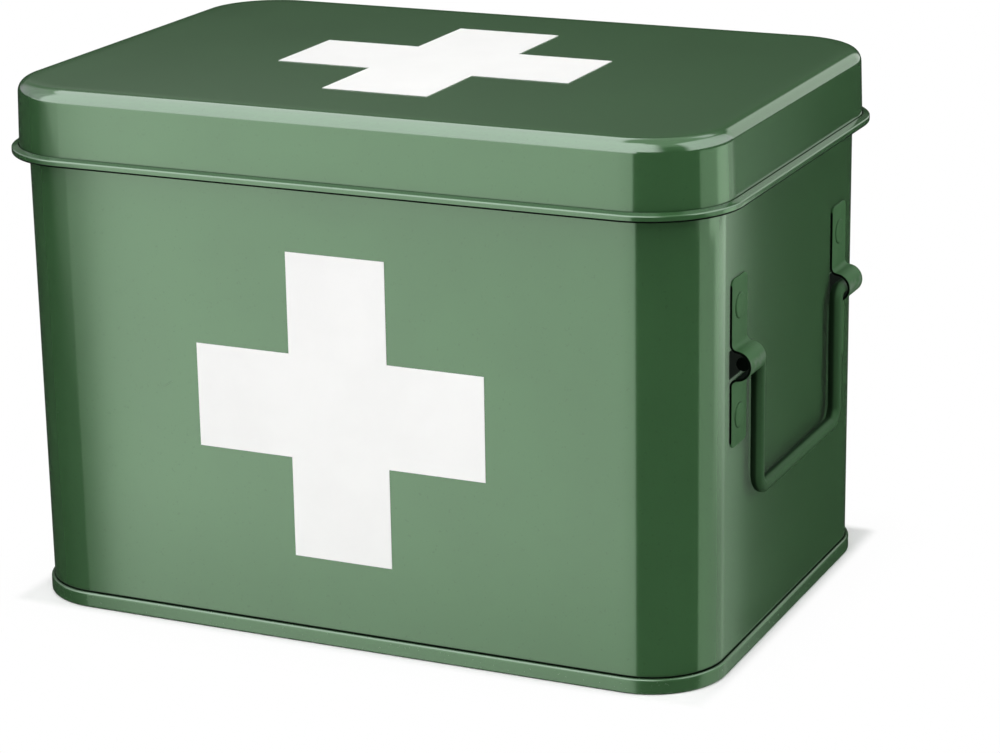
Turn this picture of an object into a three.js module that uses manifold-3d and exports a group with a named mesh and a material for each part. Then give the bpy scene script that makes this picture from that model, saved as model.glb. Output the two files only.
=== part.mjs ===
// Metal first aid box: a wrapped sheet steel case with a seamed base, a lift-off lid with a
// curled edge, a white cross on the front and one on the lid, a wire bail handle on each side,
// and a lift-out tray inside.
//
// Units are millimetres and +Z is up. The origin is on the ground under the middle of the case,
// the front with the cross faces -Y, and the bails are on the +X and -X sides.

import * as THREE from "three";
import { mergeVertices } from "three/addons/utils/BufferGeometryUtils.js";
import Module from "manifold-3d";

const wasm = await Module();
wasm.setup();

// Case
const overallHeight = 205;
const caseWidth = 280;
const caseDepth = 192;
const caseCornerRadius = 28;
const sheet = 0.6;
const rimBeadDiameter = 2.6;
const beadTurn = 275;
const lapSeamWidth = 8;
const lapSeamThickness = 0.6;

// Base pan and the seam that joins it to the wall
const baseRecess = 2.6;
const seamHeight = 6;
const seamShoulderRadius = 0.9;
const seamFootRadius = 0.8;
const baseFloorBendRadius = 1.1;
const hemThickness = 0.5;
const hemHeight = 3.5;

// Lid
const lidHeight = 28.5;
const lidShoulderRadius = 5;
const lidFlare = 0.8;
const lidCurlDiameter = 3.4;
const lidCurlTurn = 285;

// Crosses
const frontCrossSpan = 117.6;
const frontCrossArm = 40.1;
const frontCrossHeight = 93;
const lidCrossSpan = 121;
const lidCrossArm = 42.8;
const printThickness = 0.15;

// Handle brackets and their rivets
const bracketSheet = 0.9;
const bracketWidth = 16;
const bracketLength = 63;
const bracketCornerRadius = 3;
const bracketHeight = 117;
const bracketEdgeInset = 4.5;
const barrelRadius = 5.7;
const barrelReach = 8.2;
const barrelRootRadius = 3;
const rivetSpacing = 41;
const rivetShankRadius = 1.6;
const rivetHeadRadius = 4.8;
const rivetHeadThickness = 0.7;
const rivetTailRadius = 2.6;
const rivetTailThickness = 0.9;

// Bails
const bailWireRadius = 2.6;
const bailDrop = 52.5;
const bailPivotReach = 3.9;
const bailElbowRadius = 4;
const bailCornerRadius = 6.5;
const bailEndInset = 3;

// Tray
const trayDepth = 44;
const trayBelowRim = 4.3;
const trayBendRadius = 3.3;
const trayBeadDiameter = 2.4;
const ledgeSheet = 1;
const ledgeWidth = 12;
const ledgeDrop = 10;
const ledgeEndGap = 3;
const dividerCornerRadius = 5;
const dividerBelowTray = 3;
const dividerTab = 10;
const slotLength = 84;
const slotHeight = 20;
const slotBelowTop = 8;

// Clearances
const skinGap = 0.05;
const seatGap = 0.3;
const holeGap = 0.3;
const lidClearance = 0.5;
const trayClearance = 1.4;
const bailSideGap = 1;

// Fineness of the facets
const cornerSteps = 9;
const wireSides = 12;
const rivetSides = 12;

// Outline of the case seen from above, at the outside of its wall
const casePlan = { width: caseWidth, depth: caseDepth, radius: caseCornerRadius };

// Places that several pieces share, as offsets out of the case outline and as heights
const rimBeadRadius = rimBeadDiameter / 2;
const rimBendRadius = rimBeadRadius - sheet / 2;
const rimBeadOffset = rimBendRadius - sheet / 2;
const lidInnerRadius = lidShoulderRadius - sheet;
const lidSkirtOffset = rimBeadOffset + rimBeadRadius + lidClearance + sheet;
const lidShoulderOffset = lidSkirtOffset - lidShoulderRadius;
const lidShoulderHeight = overallHeight - lidShoulderRadius;
const rimSeatReach = lidInnerRadius - rimBeadRadius - seatGap;
const rimBeadAcross = rimBeadOffset - lidShoulderOffset;
const rimBeadHeight = lidShoulderHeight + Math.sqrt(rimSeatReach ** 2 - rimBeadAcross ** 2);
const rimHeight = rimBeadHeight + rimBeadRadius;
const wallInside = caseWidth / 2 - sheet;
const hemFoot = sheet + seatGap;
const bracketCentreY = caseDepth / 2 - caseCornerRadius - bracketEdgeInset - bracketWidth / 2;
const trayTop = rimHeight - trayBelowRim;
const trayBottom = trayTop - trayDepth;
const trayBeadBendRadius = (trayBeadDiameter - sheet) / 2;
const trayBeadOffset = -sheet - trayClearance - trayBeadDiameter / 2;
const trayWallOffset = trayBeadOffset - trayBeadBendRadius;
const ledgeLength = 2 * (bracketCentreY - rivetTailRadius - ledgeEndGap);

// Paints and metals
const paints = {
  case: { color: 0x5f8a64, roughness: 0.38, metalness: 0.1 },
  lid: { color: 0x628e67, roughness: 0.38, metalness: 0.1 },
  fittings: { color: 0x557f5b, roughness: 0.42, metalness: 0.1 },
  inside: { color: 0x5b8560, roughness: 0.45, metalness: 0.1 },
  cross: { color: 0xf7f8f6, roughness: 0.35, metalness: 0 },
};

function paint(name) {
  return new THREE.MeshStandardMaterial(paints[name]);
}

function named(name, geometry, paintName) {
  const mesh = new THREE.Mesh(geometry, paint(paintName));
  mesh.name = name;
  return mesh;
}

// Closed mesh to solid and back, for the cut and joined pieces
function solidOf(geometry) {
  const bare = geometry.clone();
  bare.deleteAttribute("normal");
  bare.deleteAttribute("uv");
  const merged = mergeVertices(bare, 1e-4);
  return new wasm.Manifold(new wasm.Mesh({
    numProp: 3,
    vertProperties: new Float32Array(merged.attributes.position.array),
    triVerts: new Uint32Array(merged.index.array),
  }));
}

function geometryOf(solid) {
  const mesh = solid.getMesh();
  const geometry = new THREE.BufferGeometry();
  geometry.setAttribute("position", new THREE.BufferAttribute(new Float32Array(mesh.vertProperties), 3));
  geometry.setIndex(new THREE.BufferAttribute(new Uint32Array(mesh.triVerts), 1));
  geometry.computeVertexNormals();
  return geometry;
}

// Points along a bend, with its angles in degrees
function bend(centreX, centreY, radius, from, to, steps) {
  const points = [];
  for (let i = 0; i <= steps; i += 1) {
    const angle = THREE.MathUtils.degToRad(from + ((to - from) * i) / steps);
    points.push(new THREE.Vector2(
      centreX + radius * Math.cos(angle),
      centreY + radius * Math.sin(angle),
    ));
  }
  return points;
}

function sideways(from, to) {
  const along = to.clone().sub(from).normalize();
  return new THREE.Vector2(along.y, -along.x);
}

// The two faces of a folded sheet, half its thickness to the right and left of a middle line
function sheetFaces(middle, thickness) {
  const right = [];
  const left = [];
  const last = middle.length - 1;
  middle.forEach((point, i) => {
    const before = i > 0 ? sideways(middle[i - 1], point) : sideways(point, middle[i + 1]);
    const after = i < last ? sideways(point, middle[i + 1]) : before;
    const across = before.clone().add(after).divideScalar(1 + before.dot(after));
    across.multiplyScalar(thickness / 2);
    right.push(point.clone().add(across));
    left.push(point.clone().sub(across));
  });
  return { right, left };
}

// Closed outline of a folded sheet seen on its edge
function sheetOutline(middle, thickness) {
  const faces = sheetFaces(middle, thickness);
  return [...faces.right, ...faces.left.reverse()];
}

// Columns round a rectangle with rounded corners, counter-clockwise from above
function planColumns(plan) {
  const columns = [];
  for (let corner = 0; corner < 4; corner += 1) {
    const signX = corner === 0 || corner === 3 ? 1 : -1;
    const signY = corner < 2 ? 1 : -1;
    for (let i = 0; i <= cornerSteps; i += 1) {
      const angle = ((corner + i / cornerSteps) * Math.PI) / 2;
      columns.push({
        x: signX * (plan.width / 2 - plan.radius),
        y: signY * (plan.depth / 2 - plan.radius),
        cos: Math.cos(angle),
        sin: Math.sin(angle),
      });
    }
  }
  return columns;
}

// Sweep of a section round a plan. A section point is an offset out of the plan and a height.
// A closed section makes a ring. A section that is open at the middle makes a panel, closed
// above its last point and below its first.
function sweep(section, plan, panel) {
  const columns = planColumns(plan);
  const count = section.length;
  const positions = [];
  const indices = [];
  columns.forEach((column) => {
    section.forEach((point) => {
      const reach = plan.radius + point.x;
      positions.push(column.x + reach * column.cos, column.y + reach * column.sin, point.y);
    });
  });
  const low = columns.length * count;
  const high = low + 1;
  if (panel) {
    positions.push(0, 0, section[0].y);
    positions.push(0, 0, section[count - 1].y);
  }
  columns.forEach((column, c) => {
    const here = c * count;
    const next = ((c + 1) % columns.length) * count;
    for (let i = 0; i < (panel ? count - 1 : count); i += 1) {
      const j = (i + 1) % count;
      indices.push(here + i, next + i, next + j);
      indices.push(here + i, next + j, here + j);
    }
    if (panel) {
      indices.push(low, next, here);
      indices.push(high, here + count - 1, next + count - 1);
    }
  });
  const geometry = new THREE.BufferGeometry();
  geometry.setAttribute("position", new THREE.Float32BufferAttribute(positions, 3));
  geometry.setIndex(indices);
  geometry.computeVertexNormals();
  return geometry;
}

// Flat shape in X and Z, standing on edge and extruded towards -Y from Y = 0
function extrudeForward(shape, depth) {
  const geometry = new THREE.ExtrudeGeometry(shape, { depth, bevelEnabled: false, curveSegments: 4 });
  geometry.rotateX(Math.PI / 2);
  return geometry;
}

function roundedRectangle(width, height, radius) {
  const x = width / 2 - radius;
  const y = height / 2 - radius;
  const shape = new THREE.Shape();
  shape.absarc(x, y, radius, 0, Math.PI / 2);
  shape.absarc(-x, y, radius, Math.PI / 2, Math.PI);
  shape.absarc(-x, -y, radius, Math.PI, 1.5 * Math.PI);
  shape.absarc(x, -y, radius, 1.5 * Math.PI, 2 * Math.PI);
  return shape;
}

function crossShape(span, arm) {
  const far = span / 2;
  const near = arm / 2;
  return new THREE.Shape([
    new THREE.Vector2(far, -near),
    new THREE.Vector2(far, near),
    new THREE.Vector2(near, near),
    new THREE.Vector2(near, far),
    new THREE.Vector2(-near, far),
    new THREE.Vector2(-near, near),
    new THREE.Vector2(-far, near),
    new THREE.Vector2(-far, -near),
    new THREE.Vector2(-near, -near),
    new THREE.Vector2(-near, -far),
    new THREE.Vector2(near, -far),
    new THREE.Vector2(near, -near),
  ]);
}

// Round hole tool along X, centred on the wall plane
function crossDrill(x, y, z) {
  const drill = new THREE.CylinderGeometry(rivetShankRadius + holeGap, rivetShankRadius + holeGap, 12, rivetSides);
  drill.rotateZ(Math.PI / 2);
  drill.translate(x, y, z);
  return solidOf(drill);
}

// Every handle bracket: the side it is on, the end it is near, and its name
const handles = [
  { side: 1, end: -1, name: "right_front" },
  { side: 1, end: 1, name: "right_rear" },
  { side: -1, end: -1, name: "left_front" },
  { side: -1, end: 1, name: "left_rear" },
];

const rivetRows = [
  { name: "upper", z: rivetSpacing / 2 },
  { name: "lower", z: -rivetSpacing / 2 },
];

// Wall of the case: hem at the foot, straight sheet, bead rolled outward at the rim
function caseWall() {
  const middle = [
    new THREE.Vector2(-sheet / 2, hemFoot + hemHeight + hemThickness),
    ...bend(rimBeadOffset, rimBeadHeight, rimBendRadius, 180, 180 - beadTurn, 9),
  ];
  const outline = sheetOutline(middle, sheet);
  const foot = [
    new THREE.Vector2(-sheet, hemFoot),
    new THREE.Vector2(hemThickness, hemFoot),
    new THREE.Vector2(hemThickness, hemFoot + hemHeight),
  ];
  let solid = solidOf(sweep([...outline, ...foot], casePlan, false));
  const seamTop = rimBeadHeight - rimBeadDiameter;
  const seamBottom = seamHeight + seatGap;
  const lap = new THREE.BoxGeometry(lapSeamWidth, lapSeamThickness + sheet / 2, seamTop - seamBottom);
  lap.translate(
    0,
    caseDepth / 2 + lapSeamThickness / 2 - sheet / 4,
    (seamTop + seamBottom) / 2,
  );
  solid = solid.add(solidOf(lap));
  handles.forEach((handle) => {
    rivetRows.forEach((row) => {
      const drill = crossDrill(
        (handle.side * caseWidth) / 2,
        handle.end * bracketCentreY,
        bracketHeight + row.z,
      );
      solid = solid.subtract(drill);
    });
  });
  return named("case_wall", geometryOf(solid), "case");
}

// Base: a raised floor and a channel seamed round the hem of the wall
function caseBase() {
  const floorLevel = baseRecess + sheet / 2;
  const innerOffset = -sheet - seatGap - sheet / 2;
  const outerOffset = hemThickness + seatGap + sheet / 2;
  const floorBend = baseFloorBendRadius - sheet / 2;
  const footBend = seamFootRadius - sheet / 2;
  const shoulderBend = seamShoulderRadius - sheet / 2;
  const footLevel = sheet / 2;
  const lipLevel = seamHeight - sheet / 2;
  const middle = [
    ...bend(innerOffset - floorBend, floorLevel - floorBend, floorBend, 90, 0, 2),
    ...bend(innerOffset + footBend, footLevel + footBend, footBend, 180, 270, 2),
    ...bend(outerOffset - footBend, footLevel + footBend, footBend, 270, 360, 2),
    ...bend(outerOffset - shoulderBend, lipLevel - shoulderBend, shoulderBend, 0, 90, 3),
    new THREE.Vector2(seatGap, lipLevel),
  ];
  return named("case_base", sweep(sheetOutline(middle, sheet), casePlan, true), "case");
}

// Lid: flat panel, rounded shoulder, flared skirt and an outward curl along its edge
function lidShell() {
  const skirtTop = lidSkirtOffset - sheet / 2;
  const skirtFoot = skirtTop + lidFlare;
  const curlBend = (lidCurlDiameter - sheet) / 2;
  const curlHeight = overallHeight - lidHeight + lidCurlDiameter / 2;
  const middle = [
    ...bend(lidShoulderOffset, lidShoulderHeight, lidShoulderRadius - sheet / 2, 90, 0, 5),
    ...bend(skirtFoot + curlBend, curlHeight, curlBend, 180, 180 + lidCurlTurn, 9),
  ];
  return named("lid", sweep(sheetOutline(middle, sheet), casePlan, true), "lid");
}

function frontCross() {
  const geometry = extrudeForward(crossShape(frontCrossSpan, frontCrossArm), printThickness);
  const mesh = named("front_cross", geometry, "cross");
  mesh.position.set(0, -caseDepth / 2 - skinGap, frontCrossHeight);
  return mesh;
}

function lidCross() {
  const shape = crossShape(lidCrossSpan, lidCrossArm);
  const geometry = new THREE.ExtrudeGeometry(shape, { depth: printThickness, bevelEnabled: false });
  const mesh = named("lid_cross", geometry, "cross");
  mesh.position.set(0, 0, overallHeight + skinGap);
  return mesh;
}

// Bracket: a strap lying on the wall, pressed out into a half-round barrel across its middle
function bracketGeometry() {
  const flat = bracketSheet / 2;
  const barrelBend = barrelRadius - flat;
  const barrelOffset = barrelReach - barrelRadius;
  const rootBend = barrelRootRadius - flat;
  const rootOffset = flat + rootBend;
  const rootHeight = Math.sqrt((barrelBend + rootBend) ** 2 - (rootOffset - barrelOffset) ** 2);
  const rootAngle = THREE.MathUtils.radToDeg(Math.atan2(rootHeight, rootOffset - barrelOffset));
  const middle = [
    new THREE.Vector2(flat, -bracketLength / 2),
    ...bend(rootOffset, -rootHeight, rootBend, 180, 180 - rootAngle, 2),
    ...bend(barrelOffset, 0, barrelBend, -rootAngle, rootAngle, 8).slice(1, -1),
    ...bend(rootOffset, rootHeight, rootBend, 180 + rootAngle, 180, 2),
    new THREE.Vector2(flat, bracketLength / 2),
  ];
  const strap = extrudeForward(new THREE.Shape(sheetOutline(middle, bracketSheet)), bracketWidth);
  strap.translate(0, bracketWidth / 2, 0);
  const outline = roundedRectangle(bracketLength, bracketWidth, bracketCornerRadius);
  const blank = new THREE.ExtrudeGeometry(outline, {
    depth: 2 * barrelReach,
    bevelEnabled: false,
    curveSegments: 4,
  });
  blank.rotateY(-Math.PI / 2);
  blank.translate(1.5 * barrelReach, 0, 0);
  let solid = solidOf(strap).intersect(solidOf(blank));
  rivetRows.forEach((row) => {
    solid = solid.subtract(crossDrill(0, 0, row.z));
  });
  return geometryOf(solid);
}

// Rivet: tail inside the wall, shank through wall and strap, low domed head outside.
// Its axis is X, and X = 0 is the outside of the case wall.
function rivetGeometry() {
  const inside = -sheet - seatGap;
  const outside = skinGap + bracketSheet + seatGap;
  const profile = [
    new THREE.Vector2(0, inside - rivetTailThickness),
    new THREE.Vector2(rivetTailRadius * 0.7, inside - rivetTailThickness),
    new THREE.Vector2(rivetTailRadius, inside - rivetTailThickness / 2),
    new THREE.Vector2(rivetTailRadius, inside),
    new THREE.Vector2(rivetShankRadius, inside),
    new THREE.Vector2(rivetShankRadius, outside),
    new THREE.Vector2(rivetHeadRadius, outside),
    new THREE.Vector2(rivetHeadRadius, outside + rivetHeadThickness * 0.4),
    new THREE.Vector2(rivetHeadRadius * 0.72, outside + rivetHeadThickness * 0.9),
    new THREE.Vector2(0, outside + rivetHeadThickness),
  ];
  const geometry = new THREE.LatheGeometry(profile, rivetSides);
  geometry.rotateZ(-Math.PI / 2);
  return geometry;
}

// Path of a bent wire with a ring of the wire at each of its points
class WirePath extends THREE.Curve {
  constructor(points) {
    super();
    this.points = points;
  }

  getPointAt(u, target = new THREE.Vector3()) {
    return target.copy(this.points[Math.round(u * (this.points.length - 1))]);
  }

  getTangentAt(u, target = new THREE.Vector3()) {
    const last = this.points.length - 1;
    const i = Math.round(u * last);
    const here = this.points[i];
    const into = here.clone().sub(this.points[Math.max(i - 1, 0)]).normalize();
    const out = this.points[Math.min(i + 1, last)].clone().sub(here).normalize();
    return target.copy(into).add(out).normalize();
  }
}

// Bail: a wire bent to a wide U, with its two ends turned outward into the barrels.
// It hangs down from the pivot line, which is the Y axis here.
function bailGeometry() {
  const bracketInner = bracketCentreY - bracketWidth / 2;
  const leg = bracketInner - bailSideGap - bailWireRadius;
  const end = bracketCentreY + bracketWidth / 2 - bailEndInset;
  const half = [
    new THREE.Vector2(end, 0),
    ...bend(leg + bailElbowRadius, -bailElbowRadius, bailElbowRadius, 90, 180, 4),
    ...bend(leg - bailCornerRadius, bailCornerRadius - bailDrop, bailCornerRadius, 0, -90, 6),
  ];
  const mirrored = half.map((point) => new THREE.Vector2(-point.x, point.y)).reverse();
  const points = [...half, ...mirrored].map((point) => new THREE.Vector3(0, point.x, point.y));
  const section = new THREE.Shape(bend(0, 0, bailWireRadius, 0, 360, wireSides).slice(0, -1));
  const geometry = new THREE.ExtrudeGeometry(section, {
    steps: points.length - 1,
    extrudePath: new WirePath(points),
  });
  return geometry;
}

// Tray: drawn pan with a rolled edge, a little smaller than the inside of the case
function trayPan() {
  const floorLevel = trayBottom + sheet / 2;
  const cornerBend = trayBendRadius - sheet / 2;
  const beadHeight = trayTop - trayBeadDiameter / 2;
  const middle = [
    ...bend(trayWallOffset - cornerBend, floorLevel + cornerBend, cornerBend, 270, 360, 3),
    ...bend(trayBeadOffset, beadHeight, trayBeadBendRadius, 180, 180 - beadTurn, 8),
  ];
  return named("tray_pan", sweep(sheetOutline(middle, sheet), casePlan, true), "inside");
}

// Divider: a web along the middle of the tray with a hand slot, and a tab bent at each end
function trayDivider() {
  const floor = trayBottom + sheet + seatGap;
  const top = trayTop - dividerBelowTray;
  const height = top - floor;
  const reach = caseWidth / 2 + trayWallOffset - sheet / 2 - seatGap;
  const web = new THREE.Shape();
  web.moveTo(-reach, height);
  web.lineTo(-reach, dividerCornerRadius);
  web.absarc(-reach + dividerCornerRadius, dividerCornerRadius, dividerCornerRadius, Math.PI, 1.5 * Math.PI);
  web.absarc(reach - dividerCornerRadius, dividerCornerRadius, dividerCornerRadius, 1.5 * Math.PI, 2 * Math.PI);
  web.lineTo(reach, height);
  const slotRound = slotHeight / 2;
  const slotLevel = height - slotBelowTop - slotRound;
  const slotStraight = slotLength / 2 - slotRound;
  const slot = new THREE.Path();
  slot.absarc(slotStraight, slotLevel, slotRound, -Math.PI / 2, Math.PI / 2);
  slot.absarc(-slotStraight, slotLevel, slotRound, Math.PI / 2, 1.5 * Math.PI);
  web.holes.push(slot);
  const panel = extrudeForward(web, sheet);
  panel.translate(0, sheet / 2, 0);
  let solid = solidOf(panel);
  const tabHeight = height - dividerCornerRadius;
  [-1, 1].forEach((end) => {
    const tab = new THREE.BoxGeometry(sheet, dividerTab, tabHeight);
    tab.translate(
      end * (reach - sheet / 2),
      (dividerTab - sheet) / 2,
      dividerCornerRadius + tabHeight / 2,
    );
    solid = solid.add(solidOf(tab));
  });
  const mesh = named("tray_divider", geometryOf(solid), "inside");
  mesh.position.z = floor;
  return mesh;
}

// Ledge: an angle strip on the inside of a side wall. X = 0 is the face on the wall,
// and the strip reaches towards -X.
function ledgeGeometry() {
  const section = new THREE.Shape([
    new THREE.Vector2(0, 0),
    new THREE.Vector2(-ledgeWidth, 0),
    new THREE.Vector2(-ledgeWidth, -ledgeSheet),
    new THREE.Vector2(-ledgeSheet, -ledgeSheet),
    new THREE.Vector2(-ledgeSheet, -ledgeDrop),
    new THREE.Vector2(0, -ledgeDrop),
  ]);
  const geometry = extrudeForward(section, ledgeLength);
  geometry.translate(0, ledgeLength / 2, 0);
  return geometry;
}

// Everything that belongs to one side of the case, built for the +X side and turned for the other
function sideFittings(side) {
  const label = side > 0 ? "right" : "left";
  const group = new THREE.Group();
  group.rotation.z = side > 0 ? 0 : Math.PI;
  const bail = named(`bail_${label}`, bailGeometry(), "fittings");
  bail.position.set(caseWidth / 2 + skinGap + bailPivotReach, 0, bracketHeight);
  group.add(bail);
  const ledge = named(`tray_ledge_${label}`, ledgeGeometry(), "inside");
  ledge.position.set(wallInside - skinGap, 0, trayBottom - seatGap);
  group.add(ledge);
  handles.filter((handle) => handle.side === side).forEach((handle) => {
    const y = handle.side * handle.end * bracketCentreY;
    const bracket = named(`bracket_${handle.name}`, bracketGeometry(), "fittings");
    bracket.position.set(caseWidth / 2 + skinGap, y, bracketHeight);
    group.add(bracket);
    rivetRows.forEach((row) => {
      const rivet = named(`rivet_${handle.name}_${row.name}`, rivetGeometry(), "fittings");
      rivet.position.set(caseWidth / 2, y, bracketHeight + row.z);
      group.add(rivet);
    });
  });
  return group;
}

function firstAidBox() {
  const box = new THREE.Group();
  const lidGroup = new THREE.Group();
  lidGroup.add(lidShell(), lidCross());
  const trayGroup = new THREE.Group();
  trayGroup.add(trayPan(), trayDivider());
  box.add(caseWall(), caseBase(), frontCross(), lidGroup, trayGroup, sideFittings(1), sideFittings(-1));
  return box;
}

export default firstAidBox();
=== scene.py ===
"""Looks of a metal first aid box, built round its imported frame.

The box is a wrapped sheet steel case with a seamed base, a lift-off lid with a curled edge, a
white cross on the front and one on the lid, a wire bail handle on each side, and a lift-out tray.
Lengths are metres, +Z is up, the front with the cross faces -Y, and the bails are on the X sides.
"""

from __future__ import annotations

import logging
import math
from dataclasses import dataclass, field
from enum import Enum
from typing import Callable, NamedTuple, Sequence, Union

import bmesh
import bpy
from mathutils import Matrix, Vector


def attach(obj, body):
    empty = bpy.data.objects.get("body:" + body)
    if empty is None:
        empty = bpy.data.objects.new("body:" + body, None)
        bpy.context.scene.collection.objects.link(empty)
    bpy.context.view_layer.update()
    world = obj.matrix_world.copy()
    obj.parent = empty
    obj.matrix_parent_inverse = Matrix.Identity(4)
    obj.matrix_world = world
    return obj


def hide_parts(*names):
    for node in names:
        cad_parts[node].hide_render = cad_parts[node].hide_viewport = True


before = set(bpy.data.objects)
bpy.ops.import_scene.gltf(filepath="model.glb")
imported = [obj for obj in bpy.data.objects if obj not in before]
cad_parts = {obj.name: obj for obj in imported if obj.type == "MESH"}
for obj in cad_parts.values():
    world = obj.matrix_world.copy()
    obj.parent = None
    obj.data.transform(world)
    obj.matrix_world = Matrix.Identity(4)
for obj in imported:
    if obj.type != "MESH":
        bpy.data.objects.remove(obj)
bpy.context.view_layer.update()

MM = 0.001
NEAR = 0.01 * MM
LOG = logging.getLogger("first_aid_box")

Point = tuple[float, float, float]
Colour = tuple[float, float, float]
Spot = tuple[float, float]
Test = Callable[[Vector], bool]


class Join(Enum):
    """How a second piece is worked into a first."""

    ADD = "UNION"
    CUT = "DIFFERENCE"


@dataclass(frozen=True)
class Line:
    """A straight run of a section, up to a point given as (out, height)."""

    to: Spot


@dataclass(frozen=True)
class Arc:
    """A bend of a section round a centre (out, height), from where the section has come to."""

    centre: Spot
    turn: float
    steps: int


Strokes = Sequence[Union[Line, Arc]]


@dataclass(frozen=True)
class Plan:
    """The outside of the case wall seen from above, and the middle of a bracket on its side."""

    width: float = 280 * MM
    depth: float = 192 * MM
    radius: float = 28 * MM
    steps: int = 24
    grip_aside: float = 55.5 * MM
    grip_height: float = 117 * MM

    @property
    def side(self) -> float:
        """Distance from the middle to the outside of a side wall."""
        return self.width / 2

    @property
    def back(self) -> float:
        """Distance from the middle to the outside of the front or back wall."""
        return self.depth / 2

    @property
    def corner(self) -> Spot:
        """Centre of the rounded corner at +X and +Y."""
        return self.width / 2 - self.radius, self.depth / 2 - self.radius


class Blank:
    """A piece on the bench: one mesh object and the steps that shape it."""

    hold = 0.4 * MM
    doubles = 0.004 * MM

    def __init__(self, name: str) -> None:
        """Takes the active object, with its transform applied, as the piece.

        Args:
            name: Name of the piece and of its mesh.
        """
        self.obj = bpy.context.object
        self.obj.name = name
        self.obj.data.name = name
        bpy.ops.object.transform_apply(location=True, rotation=True, scale=True)

    @classmethod
    def start(cls, name: str, primitive: Callable[..., object], **settings: object) -> Blank:
        """Adds a primitive as a new piece.

        Args:
            name: Name of the piece.
            primitive: Operator that adds the primitive.
            **settings: Its size and place.

        Returns:
            The piece, in edit mode, with all of it selected.
        """
        bpy.ops.object.select_all(action="DESELECT")
        primitive(**settings)
        blank = cls(name)
        bpy.ops.object.mode_set(mode="EDIT")
        bpy.ops.mesh.select_mode(type="VERT")
        bpy.ops.mesh.select_all(action="SELECT")
        return blank

    @classmethod
    def point(cls, name: str, at: Point) -> Blank:
        """Starts a piece from one point.

        Args:
            name: Name of the piece.
            at: Place of the point.

        Returns:
            The piece, in edit mode, with that point selected.
        """
        blank = cls.start(name, bpy.ops.mesh.primitive_plane_add, size=2 * MM, location=at)
        bpy.ops.mesh.merge(type="CENTER")
        return blank

    @classmethod
    def block(cls, name: str, low: Point, high: Point) -> Blank:
        """Starts a piece from a block between two corners.

        Args:
            name: Name of the piece.
            low: Lowest corner.
            high: Highest corner.

        Returns:
            The piece, in edit mode, with all of it selected.
        """
        middle = [(a + b) / 2 for a, b in zip(low, high)]
        size = [b - a for a, b in zip(low, high)]
        add = bpy.ops.mesh.primitive_cube_add
        return cls.start(name, add, size=1, location=middle, scale=size)

    @classmethod
    def trace(cls, name: str, start: Spot, strokes: Strokes, out: float, along: float) -> Blank:
        """Starts a piece with the middle line of a folded sheet, in the X and Z plane.

        Args:
            name: Name of the piece.
            start: First point, as (out, height).
            strokes: Straight runs and bends that follow.
            out: X at which out is zero.
            along: Y of the section.

        Returns:
            The piece, with all of its section selected.
        """
        blank = cls.point(name, (out + start[0], along, start[1]))
        here = Vector(start)
        bends = [False, *(isinstance(stroke, Arc) for stroke in strokes), False]
        for place, stroke in enumerate(strokes):
            if isinstance(stroke, Line):
                step = Vector(stroke.to) - here
                blank.stretch(Vector((step.x, 0, step.y)), bends[place], bends[place + 2])
                here = Vector(stroke.to)
                continue
            centre = Vector(stroke.centre)
            blank.spin((out + centre.x, along, centre.y), (0, -1, 0), stroke.turn, stroke.steps)
            here = centre + Matrix.Rotation(math.radians(stroke.turn), 2) @ (here - centre)
        bpy.ops.mesh.select_all(action="SELECT")
        return blank

    @classmethod
    def wrap(cls, name: str, start: Spot, strokes: Strokes, plan: Plan) -> Blank:
        """Carries the middle line of a folded sheet round a plan, and closes the ring.

        Args:
            name: Name of the piece.
            start: First point of the line, as (out, height).
            strokes: Straight runs and bends that follow.
            plan: The rounded rectangle to follow.

        Returns:
            The piece, in edit mode.
        """
        x, y = plan.corner
        blank = cls.trace(name, start, strokes, plan.side, y)
        runs = ((x, y, -2 * x, 0), (-x, y, 0, -2 * y), (-x, -y, 2 * x, 0), (x, -y, 0, 2 * y))
        for centre_x, centre_y, run_x, run_y in runs:
            blank.spin((centre_x, centre_y, 0), (0, 0, 1), 90, plan.steps)
            blank.stretch(Vector((run_x, run_y, 0)), True, True)
        return blank.tidy()

    def pull(self, by: Point) -> Blank:
        """Extrudes what is selected in a straight line."""
        bpy.ops.mesh.extrude_region_move(TRANSFORM_OT_translate={"value": by})
        return self

    def spin(self, centre: Point, axis: Point, degrees: float, steps: int) -> Blank:
        """Extrudes what is selected round an axis, by the right hand's turn."""
        bpy.ops.mesh.spin(steps=steps, angle=-math.radians(degrees), center=centre, axis=axis)
        return self

    def stretch(self, step: Vector, after_bend: bool, before_bend: bool) -> None:
        """Pulls a straight run, held close to each bend so that the run shades flat.

        Args:
            step: The whole run.
            after_bend: Whether a bend comes before it.
            before_bend: Whether a bend comes after it.
        """
        hold = min(self.hold, step.length / 4)
        first = step.normalized() * (hold if after_bend else 0)
        last = step.normalized() * (hold if before_bend else 0)
        for part in (first, step - first - last, last):
            if part.length > 0:
                self.pull(tuple(part))

    def tidy(self) -> Blank:
        """Merges doubled points and turns the faces outwards.

        Returns:
            The piece.
        """
        bpy.ops.mesh.select_all(action="SELECT")
        bpy.ops.mesh.remove_doubles(threshold=self.doubles)
        bpy.ops.mesh.normals_make_consistent(inside=False)
        return self

    def pick(self, test: Test) -> Blank:
        """Selects the points that pass a test, with the edges and faces between them.

        Args:
            test: Takes a point's place and says whether it is wanted.

        Returns:
            The piece.
        """
        bpy.ops.mesh.select_mode(type="VERT")
        bpy.ops.mesh.select_all(action="DESELECT")
        shape = bmesh.from_edit_mesh(self.obj.data)
        for vertex in shape.verts:
            vertex.select = test(vertex.co)
        shape.select_flush_mode()
        bmesh.update_edit_mesh(self.obj.data)
        return self

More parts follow.
